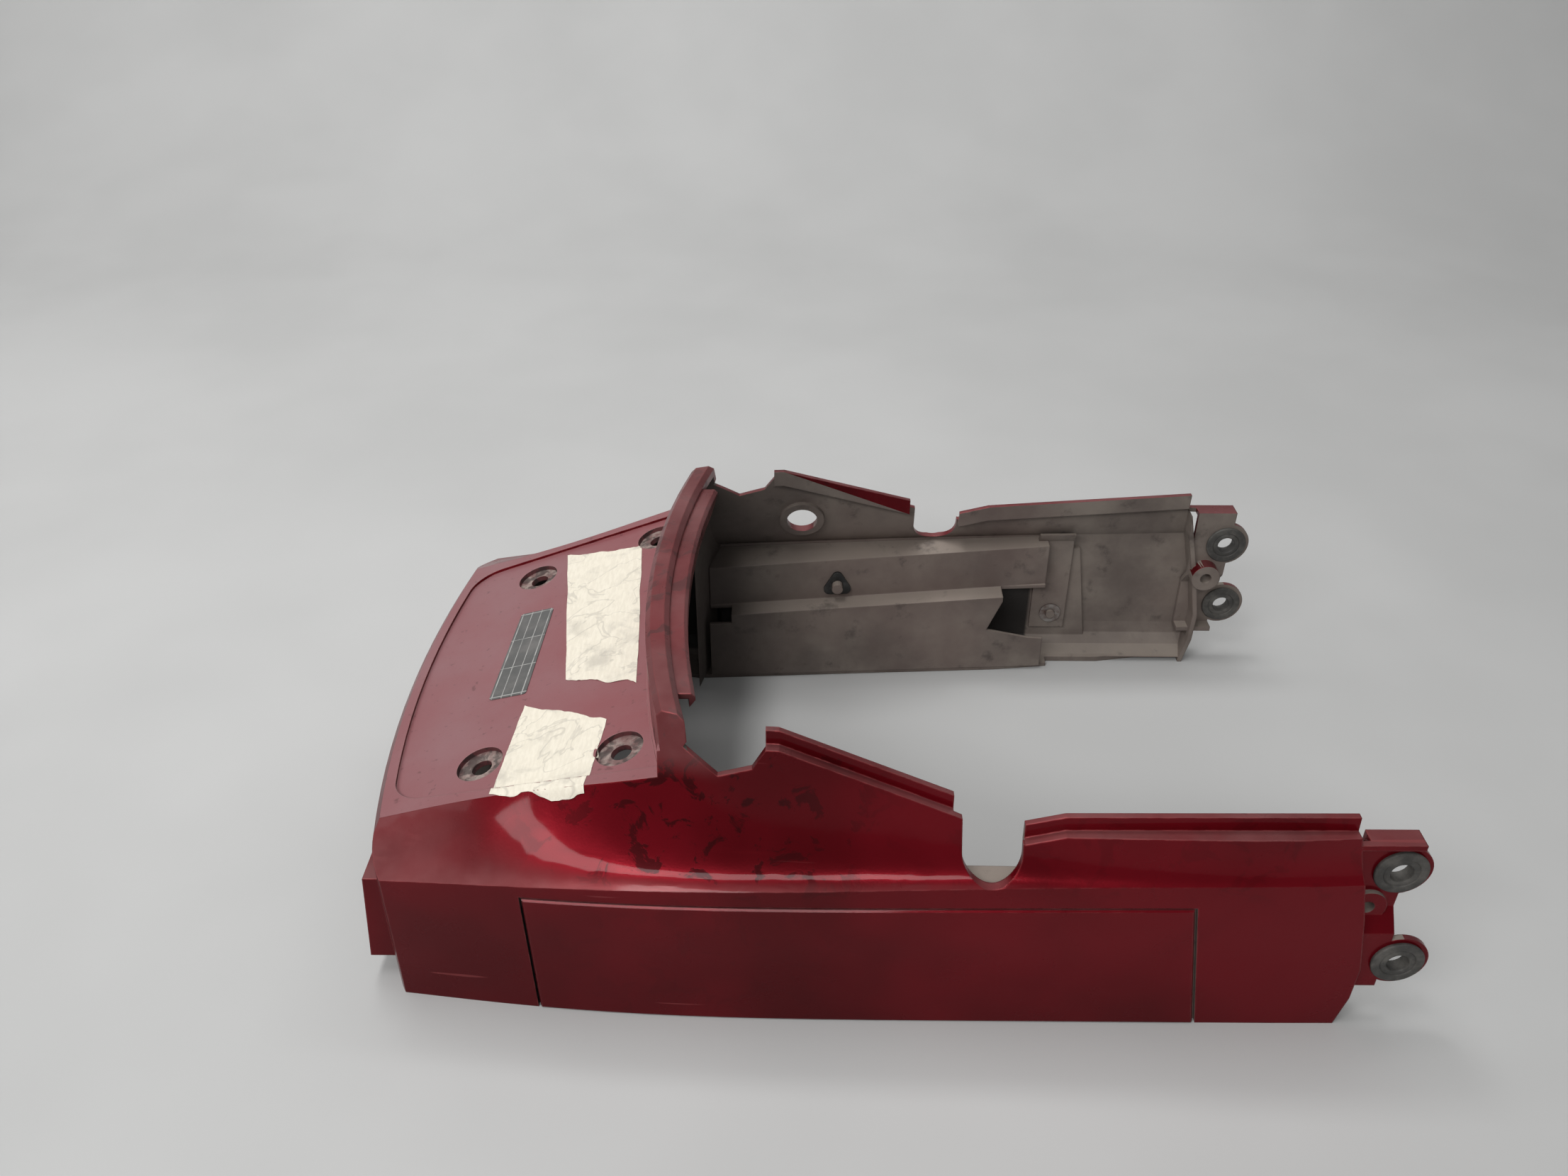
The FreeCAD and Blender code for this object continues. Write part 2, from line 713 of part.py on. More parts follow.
clip = rounded_clip()
clip.translate(V(0, -clip_thick, 0))
clip.rotate(V(0, 0, 0), V(0, 0, 1), math.degrees(math.atan(channel_flare)))
clip.translate(V(fore(post_along), post_half - channel_thick / 2, post_height))
clip = clip.cut(cowl)
washer_base = V(fore(stud_along), stud_half - washer_thick, stud_height)
washer = Part.makeCylinder(washer_radius, washer_thick, washer_base, V(0, 1, 0))
washer = washer.cut(Part.makeCylinder(stud_radius + clip_play, 2 * washer_thick, washer_base, V(0, 1, 0)))
washer = washer.cut(channel)


# Tape patches
def tape_region(corners):
    return plan_polygon(corners, 0.0, above)


tape_floor = deck_slab(-rim_step, tape_thick - rim_step)
centre_patch = one_solid(tape_region(centre_tape).common(floor_region).common(tape_floor))
inner_floor = Part.Face(Part.Wire(deck_outline())).makeOffset2D(-tape_thick).extrude(V(0, 0, reach))
riser = floor_region.cut(inner_floor).common(deck_slab(-rim_step, tape_thick))
rim_top = outer_body.cut(floor_region).common(deck_slab(0.0, tape_thick))
hem = side_prism([
    (tape_hem_rear, deck_height(tape_hem_rear) + sliver),
    (tape_hem_turn, deck_height(tape_hem_turn) - tape_hem),
    (tape_hem_front, deck_height(tape_hem_front) - tape_hem),
    (tape_hem_front, above),
    (tape_hem_rear, above),
])
flap = body(-tape_thick).cut(outer_body).common(deck_slab(-reach / 4, tape_thick)).common(hem)
side_region = tape_region(side_tape)
pieces = [tape_floor.common(floor_region), riser, rim_top, flap]
side_patch = one_solid(fuse([p.common(side_region) for p in pieces]))

# Write each piece
nodes = {
    "tail_cowl": cowl,
    "side_panel_left": panel,
    "side_panel_right": mirror_left(panel),
    "inner_channel_left": channel,
    "inner_channel_right": mirror_left(channel),
    "retainer_clips": Part.makeCompound([clip, mirror_left(clip)]),
    "stud_washers": Part.makeCompound([washer, mirror_left(washer)]),
    "tab_grommets": Part.makeCompound(rings + [mirror_left(r) for r in rings]),
    "tape_patch_centre": centre_patch,
    "tape_patch_side": side_patch,
}
os.makedirs("parts", exist_ok=True)
for name, shape in nodes.items():
    print(name, shape.isValid(), len(shape.Solids), round(shape.Volume))
    shape.exportStep(f"parts/{name}.step")
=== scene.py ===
"""Dressed model of a motorcycle tail cowl with worn wine-red paint, rubber grommets and paper tape."""

import logging
import math
from dataclasses import dataclass, field
from enum import Enum
from typing import Any, Protocol, Sequence

import bmesh
import bpy
from mathutils import Matrix, Vector, noise
from mathutils.bvhtree import BVHTree


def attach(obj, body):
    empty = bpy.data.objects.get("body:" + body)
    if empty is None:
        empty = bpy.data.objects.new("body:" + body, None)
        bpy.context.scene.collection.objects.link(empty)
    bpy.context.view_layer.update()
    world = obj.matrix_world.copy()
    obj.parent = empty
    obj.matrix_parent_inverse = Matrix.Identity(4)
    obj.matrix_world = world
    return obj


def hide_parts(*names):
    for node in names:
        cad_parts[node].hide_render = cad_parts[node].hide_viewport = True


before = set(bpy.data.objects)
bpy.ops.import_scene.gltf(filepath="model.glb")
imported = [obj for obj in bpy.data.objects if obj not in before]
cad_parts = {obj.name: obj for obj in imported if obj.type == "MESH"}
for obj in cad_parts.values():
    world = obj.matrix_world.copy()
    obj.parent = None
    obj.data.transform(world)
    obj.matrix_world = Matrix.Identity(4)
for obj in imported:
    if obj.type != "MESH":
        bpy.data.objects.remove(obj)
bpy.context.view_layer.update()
LOG = logging.getLogger("tail_cowl")
MM = 0.001
REAR_X = -0.2545
DECK_REAR_HEIGHT = 0.0846
DECK_PITCH = math.radians(16.4)
DECK_NORMAL = Vector((-math.sin(DECK_PITCH), 0.0, math.cos(DECK_PITCH)))
Range = tuple[float, float]
Point = tuple[float, float, float]
Colour = tuple[float, float, float]
Socket = Any


class Skin(Enum):
    """Which finish a face of the cowl wears."""

    PAINT = 0
    DECK = 1
    INSIDE = 2
    POCKET = 3


class Finish(Protocol):
    """Anything that can build the material of a piece."""

    def material(self) -> bpy.types.Material:
        """Build the material."""


def deck_place(along: float, half: float, lift: float = 0.0) -> Vector:
    """Find a place on the deck.

    Args:
        along: Distance forward from the rear end, in millimetres.
        half: Distance to the left of the middle, in millimetres.
        lift: Height above the deck plane along its normal, in metres.

    Returns:
        The point in the row frame, in metres.
    """
    x = along * MM
    return Vector((REAR_X + x, half * MM, DECK_REAR_HEIGHT + math.tan(DECK_PITCH) * x)) + DECK_NORMAL * lift


def mesh_from(name: str, bm: bmesh.types.BMesh) -> bpy.types.Mesh:
    """Write a finished edit mesh into a mesh of its own.

    Args:
        name: Name of the new mesh.
        bm: The edit mesh, which is freed.

    Returns:
        The mesh.
    """
    mesh = bpy.data.meshes.new(name)
    bm.to_mesh(mesh)
    bm.free()
    return mesh


def mesh_object(name: str, mesh: bpy.types.Mesh) -> bpy.types.Object:
    """Put a mesh into the scene.

    Args:
        name: Name of the new object.
        mesh: Its mesh.

    Returns:
        The linked object.
    """
    obj = bpy.data.objects.new(name, mesh)
    bpy.context.scene.collection.objects.link(obj)
    return obj


@dataclass(frozen=True)
class Cloud:
    """Noise that is read from a low to a high level and turned into an amount, least to most.

    The scale is in cells per metre, the detail in octaves, and the turn is about Y in degrees.
    """

    scale: float
    detail: float
    low: float
    high: float
    least: float = 0.0
    most: float = 1.0
    rough: float = 0.55
    twist: float = 0.0
    stretch: Point | None = None
    turn: float = 0.0


@dataclass(frozen=True)
class Grain:
    """Fine noise that roughens a surface, its height in metres."""

    scale: float
    detail: float
    height: float
    strength: float


class Shader:
    """Node tree of one material, with short methods for the nodes that the finishes use."""

    MIX_FIRST = 6
    MIX_SECOND = 7
    MIX_RESULT = 2
    BEVEL_SAMPLES = 4
    EDGE_DOTS: Range = (0.97, 0.80)

    def __init__(self, name: str) -> None:
        """Start a material.

        Args:
            name: Name of the material.
        """
        self.material = bpy.data.materials.new(name)
        self.material.use_nodes = True
        self.tree = self.material.node_tree
        self.tree.nodes.clear()
        self.bsdf = self.tree.nodes.new("ShaderNodeBsdfPrincipled")
        out = self.tree.nodes.new("ShaderNodeOutputMaterial")
        self.tree.links.new(self.bsdf.outputs["BSDF"], out.inputs["Surface"])
        self.place = self.tree.nodes.new("ShaderNodeTexCoord").outputs["Object"]
        self.facing = self.tree.nodes.new("ShaderNodeNewGeometry").outputs["Normal"]

    def feed(self, value: Any, socket: Socket) -> None:
        """Link a socket, or write a constant, into an input.

        Args:
            value: A socket, a number or a colour.
            socket: The input to fill.
        """
        if isinstance(value, bpy.types.NodeSocket):
            self.tree.links.new(value, socket)
        elif isinstance(value, tuple) and len(value) == 3 and len(socket.default_value) == 4:
            socket.default_value = (*value, 1.0)
        else:
            socket.default_value = value

    def stretched(self, scale: Point, turn: float = 0.0) -> Socket:
        """Give object coordinates scaled along each axis.

        Args:
            scale: Factors for X, Y and Z.
            turn: Turn about Y in degrees.

        Returns:
            The vector socket.
        """
        node = self.tree.nodes.new("ShaderNodeMapping")
        self.tree.links.new(self.place, node.inputs["Vector"])
        node.inputs["Scale"].default_value = scale
        node.inputs["Rotation"].default_value = (0.0, math.radians(turn), 0.0)
        return node.outputs["Vector"]

    def noise(self, scale: float, detail: float, rough: float = 0.55, vector: Socket = None,
              twist: float = 0.0) -> Socket:
        """Add a noise texture.

        Args:
            scale: Cells per metre.
            detail: Octaves.
            rough: Strength of the finer octaves.
            vector: Coordinates, or object coordinates where left out.
            twist: Distortion.

        Returns:
            The grey value socket.
        """
        node = self.tree.nodes.new("ShaderNodeTexNoise")
        self.feed(self.place if vector is None else vector, node.inputs["Vector"])
        node.inputs["Scale"].default_value = scale
        node.inputs["Detail"].default_value = detail
        node.inputs["Roughness"].default_value = rough
        node.inputs["Distortion"].default_value = twist
        return node.outputs["Fac"]

    def span(self, value: Socket, low: float, high: float, least: float = 0.0,
             most: float = 1.0) -> Socket:
        """Map a range of a value smoothly to another range.

        Args:
            value: The value socket.
            low: Start of the range that is read.
            high: End of the range that is read.
            least: Result at the start.
            most: Result at the end.

        Returns:
            The mapped value socket.
        """
        node = self.tree.nodes.new("ShaderNodeMapRange")
        node.interpolation_type = "SMOOTHSTEP"
        self.feed(value, node.inputs["Value"])
        for key, number in zip(("From Min", "From Max", "To Min", "To Max"), (low, high, least, most)):
            node.inputs[key].default_value = number
        return node.outputs["Result"]

    def cloud(self, c: Cloud) -> Socket:
        """Add a noise and turn its levels into amounts.

        Args:
            c: The noise, its levels and its amounts.

        Returns:
            The amount socket.
        """
        vector = None if c.stretch is None else self.stretched(c.stretch, c.turn)
        value = self.noise(c.scale, c.detail, c.rough, vector, c.twist)
        return self.span(value, c.low, c.high, c.least, c.most)

    def calc(self, kind: str, first: Any, second: Any = 0.0) -> Socket:
        """Add a sum, difference or other simple calculation.

        Args:
            kind: Name of the operation.
            first: First value.
            second: Second value.

        Returns:
            The result socket.
        """
        node = self.tree.nodes.new("ShaderNodeMath")
        node.operation = kind
        self.feed(first, node.inputs[0])
        self.feed(second, node.inputs[1])
        return node.outputs[0]

    def times(self, first: Socket, *others: Any) -> Socket:
        """Multiply values.

        Args:
            first: First value.
            *others: The values that it is multiplied with, in order.

        Returns:
            The product socket.
        """
        for other in others:
            first = self.calc("MULTIPLY", first, other)
        return first

    def mix(self, share: Any, first: Any, second: Any) -> Socket:
        """Mix two colours.

        Args:
            share: Share of the second colour.
            first: First colour.
            second: Second colour.

        Returns:
            The colour socket.
        """
        node = self.tree.nodes.new("ShaderNodeMix")
        node.data_type = "RGBA"
        self.feed(share, node.inputs[0])
        self.feed(first, node.inputs[self.MIX_FIRST])
        self.feed(second, node.inputs[self.MIX_SECOND])
        return node.outputs[self.MIX_RESULT]

    def part_of(self, vector: Socket, axis: str) -> Socket:
        """Take one component of a vector.

        Args:
            vector: The vector socket.
            axis: X, Y or Z.

        Returns:
            The value socket.
        """
        node = self.tree.nodes.new("ShaderNodeSeparateXYZ")
        self.feed(vector, node.inputs[0])
        return node.outputs[axis]

    def along(self, axis: str, ends: Range, least: float = 0.0, most: float = 1.0) -> Socket:
        """Ramp smoothly between two places along an axis of the object."""
        return self.span(self.part_of(self.place, axis), *ends, least, most)

    def upward(self, ends: Range, most: float = 1.0) -> Socket:
        """Mark faces by how far they look up, between two values of their normal's Z."""
        return self.span(self.part_of(self.facing, "Z"), *ends, 0.0, most)

    def off(self, value: Socket, middle: float) -> Socket:
        """Measure how far a value lies from a middle one."""
        return self.calc("ABSOLUTE", self.calc("SUBTRACT", value, middle))

    def round_edges(self, radius: float) -> Socket:
        """Give a normal that is rounded over the edges.

        Args:
            radius: Radius of the rounding in metres.

        Returns:
            The normal socket.
        """
        node = self.tree.nodes.new("ShaderNodeBevel")
        node.samples = self.BEVEL_SAMPLES
        node.inputs["Radius"].default_value = radius
        return node.outputs["Normal"]

    def edge_mask(self, rounded: Socket, most: float = 1.0) -> Socket:
        """Mark the places where the rounded normal leaves the face's own.

        Args:
            rounded: The rounded normal.
            most: Amount on an edge.

        Returns:
            A mask socket, 0 away from the edges.
        """
        node = self.tree.nodes.new("ShaderNodeVectorMath")
        node.operation = "DOT_PRODUCT"
        self.feed(rounded, node.inputs[0])
        self.feed(self.facing, node.inputs[1])
        return self.span(node.outputs["Value"], *self.EDGE_DOTS, 0.0, most)

    def bump(self, height: Socket, distance: float, strength: float, normal: Socket = None) -> Socket:
        """Turn a height into a normal.

        Args:
            height: The height socket.
            distance: Height in metres of a full step.
            strength: Strength of the effect.
            normal: Normal that it is laid over.

        Returns:
            The normal socket.
        """
        node = self.tree.nodes.new("ShaderNodeBump")
        node.inputs["Strength"].default_value = strength
        node.inputs["Distance"].default_value = distance
        self.feed(height, node.inputs["Height"])
        if normal is not None:
            self.feed(normal, node.inputs["Normal"])
        return node.outputs["Normal"]

    def grained(self, grain: Grain, normal: Socket = None, added: Socket = None) -> Socket:
        """Lay a fine grain over a normal.

        Args:
            grain: The grain.
            normal: Normal that it is laid over.
            added: Height that is added to the grain's.

        Returns:
            The normal socket.
        """
        height = self.noise(grain.scale, grain.detail)
        if added is not None:
            height = self.calc("ADD", height, added)
        return self.bump(height, grain.height, grain.strength, normal)

    def finish(self, colour: Any, rough: Any, normal: Socket, **constants: float) -> bpy.types.Material:
        """Fill the shader's sockets.

        Args:
            colour: Base colour.
            rough: Roughness.
            normal: Surface normal.
            **constants: Other sockets by name, with underscores for spaces.

        Returns:
            The finished material.
        """
        self.feed(colour, self.bsdf.inputs["Base Color"])
        self.feed(rough, self.bsdf.inputs["Roughness"])
        self.feed(normal, self.bsdf.inputs["Normal"])
        for key, value in constants.items():
            self.bsdf.inputs[key.replace("_", " ")].default_value = value
        return self.material


@dataclass(frozen=True)
class WinePaint:
    """Glossy dark wine-red paint with water stains, scuffs and worn edges."""

    deep: Colour = (0.080, 0.0012, 0.0036)
    bright: Colour = (0.150, 0.0028, 0.0078)
    stain: Colour = (0.026, 0.0012, 0.0020)
    worn: Colour = (0.360, 0.0800, 0.0820)
    # Colour of the dust, also of the painted highlight behind the seat back's crest.
    dust: Colour = (0.300, 0.1350, 0.1350)
    edge: float = 0.0011
    shades: Cloud = Cloud(7.0, 3.0, 0.35, 0.68)
    drops: Cloud = Cloud(66.0, 6.0, 0.535, 0.59, rough=0.62, twist=0.7)
    strays: Cloud = Cloud(5.0, 2.0, 0.50, 0.64, 0.0, 0.25)
    haze: Cloud = Cloud(22.0, 5.0, 0.30, 0.75, 0.22, 0.58)
    scratches: Cloud = Cloud(90.0, 2.0, 0.72, 0.75, 0.0, 0.35, 0.5, stretch=(0.06, 1.0, 1.6), turn=12.0)
    chips: Cloud = Cloud(130.0, 4.0, 0.38, 0.62, 0.15, 0.85)
    gloss: Cloud = Cloud(30.0, 5.0, 0.3, 0.7, 0.26, 0.36)
    streaks: Cloud = Cloud(60.0, 3.0, 0.62, 0.74, 0.0, 0.10, 0.6, stretch=(0.25, 1.0, 2.6))
    grain: Grain = Grain(900.0, 2.0, 0.00006, 0.5)
    stained_x: float = -0.085
    stained_span: Range = (0.105, 0.021)
    stained_height: Range = (0.080, 0.092)
    stained_below: float = 0.12
    stain_share: float = 0.82
    stain_dulls: float = 0.14
    stain_swells: float = 0.8
    level: Range = (0.72, 1.0)
    # Painted highlight: where and how strongly the face behind the seat back's crest is lightened.
    crest_height: Range = (0.128, 0.142)
    crest_rear: Range = (-0.070, -0.084)
    crest_highlight_share: float = 0.9
    metal: float = 0.45
    lacquer: float = 0.20
    lacquer_rough: float = 0.06
    shine: float = 0.05

    def stains(self, s: Shader) -> Socket:
        """Mark the dried water stains, most of them around one place and above the crease.

        Args:
            s: Shader of the paint.

        Returns:
            The mask socket.
        """
        spot = s.span(s.off(s.part_of(s.place, "X"), self.stained_x), *self.stained_span)
        zone = s.calc("MAXIMUM", spot, s.cloud(self.strays))
        return s.times(s.cloud(self.drops), zone, s.along("Z", self.stained_height, self.stained_below))

    def dusted(self, s: Shader) -> Socket:
        """Mark the dust on level faces, and a painted highlight in the dust colour behind the seat back's
        crest.

        Args:
            s: Shader of the paint.

        Returns:
            The mask socket.
        """
        crest = s.times(s.along("Z", self.crest_height), s.along("X", self.crest_rear), self.crest_highlight_share)
        return s.times(s.calc("MAXIMUM", s.upward(self.level), crest), s.cloud(self.haze))

    def material(self) -> bpy.types.Material:
        """Build the paint's material.

        Returns:
            The material.
        """
        s = Shader("wine_paint")
        stains = self.stains(s)
        rounded = s.round_edges(self.edge)
        colour = s.mix(s.cloud(self.shades), self.deep, self.bright)
        colour = s.mix(s.times(stains, self.stain_share), colour, self.stain)
        # Dust on level faces, and a painted highlight behind the seat back's crest.
        colour = s.mix(self.dusted(s), colour, self.dust)
        colour = s.mix(s.cloud(self.scratches), colour, self.worn)
        colour = s.mix(s.times(s.edge_mask(rounded), s.cloud(self.chips)), colour, self.worn)
        rough = s.calc("ADD", s.cloud(self.gloss), s.times(stains, self.stain_dulls))
        rough = s.calc("ADD", rough, s.cloud(self.streaks))
        normal = s.grained(self.grain, rounded, s.times(stains, self.stain_swells))
        return s.finish(colour, rough, normal, Metallic=self.metal, Coat_Weight=self.lacquer,
                        Coat_Roughness=self.lacquer_rough, Specular_IOR_Level=self.shine)


@dataclass(frozen=True)
class DeckPaint:
    """The same paint on the deck, hazy, dusty and rubbed dull."""

    base: Colour = (0.205, 0.0480, 0.0540)
    haze: Colour = (0.225, 0.1080, 0.1150)
    dirt: Colour = (0.060, 0.0200, 0.0200)
    worn: Colour = (0.420, 0.2200, 0.2100)
    edge: float = 0.0009
    dull: Cloud = Cloud(14.0, 5.0, 0.30, 0.72, 0.05, 0.50, 0.6)
    specks: Cloud = Cloud(240.0, 3.0, 0.64, 0.72, 0.0, 0.45)
    marks: Cloud = Cloud(70.0, 2.0, 0.68, 0.74, 0.0, 0.30, 0.5, stretch=(1.0, 0.12, 1.0), turn=20.0)
    gloss: Cloud = Cloud(26.0, 5.0, 0.3, 0.7, 0.34, 0.50)
    grain: Grain = Grain(700.0, 3.0, 0.00008, 0.6)
    rear_haze: Range = (-0.10, -0.23)
    rear_share: float = 0.5
    edge_share: float = 0.55
    lacquer: float = 0.12
    lacquer_rough: float = 0.30
    shine: float = 0.5

    def material(self) -> bpy.types.Material:
        """Build the deck's material.

        Returns:
            The material.
        """
        s = Shader("deck_paint")
        rounded = s.round_edges(self.edge)
        hazy = s.calc("ADD", s.cloud(self.dull), s.along("X", self.rear_haze, 0.0, self.rear_share))
        colour = s.mix(hazy, self.base, self.haze)
        colour = s.mix(s.cloud(self.specks), colour, self.dirt)
        colour = s.mix(s.cloud(self.marks), colour, self.worn)
        colour = s.mix(s.edge_mask(rounded, self.edge_share), colour, self.worn)
        return s.finish(colour, s.cloud(self.gloss), s.grained(self.grain, rounded), Coat_Weight=self.lacquer,
                        Coat_Roughness=self.lacquer_rough, Specular_IOR_Level=self.shine)


@dataclass(frozen=True)
class Overspray:
    """Bare plastic on the inside, dusted with brown-grey overspray and dirt.

    The channels screen the lower outer part of the arms; that hollow is painted near-black, a painted shadow.
    """

    grey: Colour = (0.115, 0.0920, 0.0810)
    pale: Colour = (0.300, 0.2580, 0.2180)
    red: Colour = (0.140, 0.0930, 0.0830)
    # Colour of the grime, also of the painted shade toward the rear of the inside.
    dark: Colour = (0.040, 0.0320, 0.0290)
    # Painted shadow: near-black colour laid on the hollow behind the channels.
    hollow_shadow: Colour = (0.009, 0.0080, 0.0075)
    edge: float = 0.0010
    mist: Cloud = Cloud(16.0, 5.0, 0.32, 0.70, 0.0, 0.55, 0.6)
    tint: Cloud = Cloud(9.0, 3.0, 0.42, 0.66, 0.0, 0.40)
    grime: Cloud = Cloud(60.0, 6.0, 0.56, 0.74, 0.0, 0.6, 0.65)
    gloss: Cloud = Cloud(40.0, 4.0, 0.3, 0.7, 0.55, 0.80)
    grain: Grain = Grain(1200.0, 3.0, 0.00012, 0.7)
    level: Range = (0.30, 0.95)
    level_share: float = 0.50
    # Painted shade: where the inside is darkened toward the rear, and how strongly.
    shade_toward_rear: Range = (-0.010, -0.095)
    shade_toward_rear_share: float = 0.75
    edge_share: float = 0.45
    # Where the painted shadow behind the channels lies, and how strong it is.
    shadow_outward: Range = (0.1405, 0.1425)
    shadow_front: Range = (0.1145, 0.1120)
    shadow_top: Range = (0.072, 0.066)
    shadow_share: float = 0.92
    shine: float = 0.35

    def hollow_shadow_mask(self, s: Shader) -> Socket:
        """Mark the painted shadow in the hollow behind the channels.

        Args:
            s: Shader of the overspray.

        Returns:
            The mask socket.
        """
        outward = s.span(s.calc("ABSOLUTE", s.part_of(s.place, "Y")), *self.shadow_outward)
        ahead = s.along("X", self.shadow_front)
        return s.times(outward, ahead, s.along("Z", self.shadow_top), self.shadow_share)

    def material(self) -> bpy.types.Material:
        """Build the inside's material.

        Returns:
            The material.
        """
        s = Shader("overspray")
        rounded = s.round_edges(self.edge)
        colour = s.mix(s.cloud(self.mist), self.grey, self.pale)
        colour = s.mix(s.cloud(self.tint), colour, self.red)
        colour = s.mix(s.upward(self.level, self.level_share), colour, self.pale)
        # Painted shade: the inside gets darker toward the rear.
        colour = s.mix(s.along("X", self.shade_toward_rear, 0.0, self.shade_toward_rear_share), colour, self.dark)
        colour = s.mix(s.cloud(self.grime), colour, self.dark)
        colour = s.mix(s.edge_mask(rounded, self.edge_share), colour, self.red)
        # Painted shadow: the hollow behind the channels is darkened to near-black.
        colour = s.mix(self.hollow_shadow_mask(s), colour, self.hollow_shadow)
        normal = s.grained(self.grain, rounded)
        return s.finish(colour, s.cloud(self.gloss), normal, Specular_IOR_Level=self.shine)


@dataclass(frozen=True)
class PocketDirt:
    """Paint in the deck's pockets, covered with pale dust and dark grime in the corners."""

    paint: Colour = (0.110, 0.0300, 0.0320)
    dust: Colour = (0.300, 0.2450, 0.2150)
    grime: Colour = (0.020, 0.0140, 0.0130)
    edge: float = 0.0006
    level: Range = (0.80, 0.94)
    dusty: Cloud = Cloud(180.0, 5.0, 0.36, 0.62, 0.25, 0.85, 0.6)
    dark: Cloud = Cloud(150.0, 4.0, 0.44, 0.60, 0.0, 0.75, 0.6, twist=0.5)
    gloss: Cloud = Cloud(80.0, 3.0, 0.3, 0.7, 0.50, 0.75)
    grain: Grain = Grain(900.0, 4.0, 0.00012, 0.7)

    def material(self) -> bpy.types.Material:
        """Build the pocket's material.

        Returns:
            The material.
        """
        s = Shader("pocket_dirt")
        colour = s.mix(s.times(s.upward(self.level), s.cloud(self.dusty)), self.paint, self.dust)
        colour = s.mix(s.cloud(self.dark), colour, self.grime)
        return s.finish(colour, s.cloud(self.gloss), s.grained(self.grain, s.round_edges(self.edge)))


@dataclass(frozen=True)
class GrommetRubber:
    """Dull grey-black rubber with dust in its pores."""

    base: Colour = (0.046, 0.0440, 0.0410)
    dust: Colour = (0.150, 0.1400, 0.1250)
    dusty: Cloud = Cloud(120.0, 5.0, 0.35, 0.72, 0.0, 0.55, 0.65)
    gloss: Cloud = Cloud(300.0, 3.0, 0.3, 0.7, 0.55, 0.78)
    grain: Grain = Grain(1600.0, 3.0, 0.00010, 0.7)
    shine: float = 0.4

    def material(self) -> bpy.types.Material:
        """Build the rubber's material.

        Returns:
            The material.
        """
        s = Shader("grommet_rubber")
        colour = s.mix(s.cloud(self.dusty), self.base, self.dust)
        return s.finish(colour, s.cloud(self.gloss), s.grained(self.grain), Specular_IOR_Level=self.shine)


@dataclass(frozen=True)
class ClipPlastic:
    """Black moulded plastic of the push-on retainers."""

    base: Colour = (0.012, 0.0120, 0.0120)
    rubbed: Colour = (0.060, 0.0560, 0.0530)
    edge: float = 0.0005
    handled: Cloud = Cloud(200.0, 4.0, 0.45, 0.75, 0.0, 0.5)
    gloss: Cloud = Cloud(90.0, 3.0, 0.3, 0.7, 0.35, 0.5)
    grain: Grain = Grain(1500.0, 2.0, 0.00006, 0.5)

    def material(self) -> bpy.types.Material:
        """Build the retainer's material.

        Returns:
            The material.
        """
        s = Shader("clip_plastic")
        rounded = s.round_edges(self.edge)
        wear = s.calc("MAXIMUM", s.cloud(self.handled), s.edge_mask(rounded))
        colour = s.mix(wear, self.base, self.rubbed)
        return s.finish(colour, s.cloud(self.gloss), s.grained(self.grain, rounded))


@dataclass(frozen=True)
class WasherSteel:
    """Dull steel dusted with overspray."""

    steel: Colour = (0.280, 0.2600, 0.2450)
    dust: Colour = (0.150, 0.1000, 0.0850)
    edge: float = 0.0003
    dusty: Cloud = Cloud(160.0, 4.0, 0.35, 0.65)
    gloss: Cloud = Cloud(160.0, 4.0, 0.35, 0.65, 0.35, 0.65)
    grain: Grain = Grain(2200.0, 2.0, 0.00004, 0.5)
    metal: float = 0.7

    def material(self) -> bpy.types.Material:
        """Build the washer's material.

        Returns:
            The material.
        """
        s = Shader("washer_steel")
        colour = s.mix(s.cloud(self.dusty), self.steel, self.dust)
        normal = s.grained(self.grain, s.round_edges(self.edge))
        return s.finish(colour, s.cloud(self.gloss), normal, Metallic=self.metal)


@dataclass(frozen=True)
class PaperTape:
    """Cream crinkled paper tape, creased across and soiled a little, with painted shade in the crinkles'
    valleys.
    """

    base: Colour = (0.720, 0.6700, 0.5650)
    crease: Colour = (0.580, 0.5300, 0.4350)
    # Colour of the painted shade in the crinkles' valleys.
    soil: Colour = (0.410, 0.3800, 0.3280)
    crinkle_stretch: Point = (1.6, 0.35, 1.0)
    crinkle_share: float = 0.6
    relief: float = 0.0006
    relief_strength: float = 0.7
    shine: float = 0.3

    def material(self) -> bpy.types.Material:
        """Build the tape's material.

        Returns:
            The material.
        """
        s = Shader("paper_tape")
        crinkle = s.noise(420.0, 4.0, 0.6, s.stretched(self.crinkle_stretch))
        broad = s.noise(45.0, 4.0, 0.6, twist=0.6)
        bend = s.off(s.noise(34.0, 3.0, 0.5, twist=1.2), 0.5)
        # Painted shade: the crinkles' valleys, where the bump is lowest, are darkened.
        colour = s.mix(s.span(crinkle, 0.40, 0.62, 0.35, 0.0), self.base, self.crease)
        colour = s.mix(s.span(broad, 0.50, 0.74, 0.0, 0.6), colour, self.soil)
        colour = s.mix(s.span(bend, 0.022, 0.004, 0.0, 0.45), colour, self.soil)
        height = s.calc("ADD", s.times(crinkle, self.crinkle_share), broad)
        normal = s.bump(height, self.relief, self.relief_strength)
        rough = s.span(broad, 0.3, 0.7, 0.62, 0.80)
        return s.finish(colour, rough, normal, Specular_IOR_Level=self.shine)


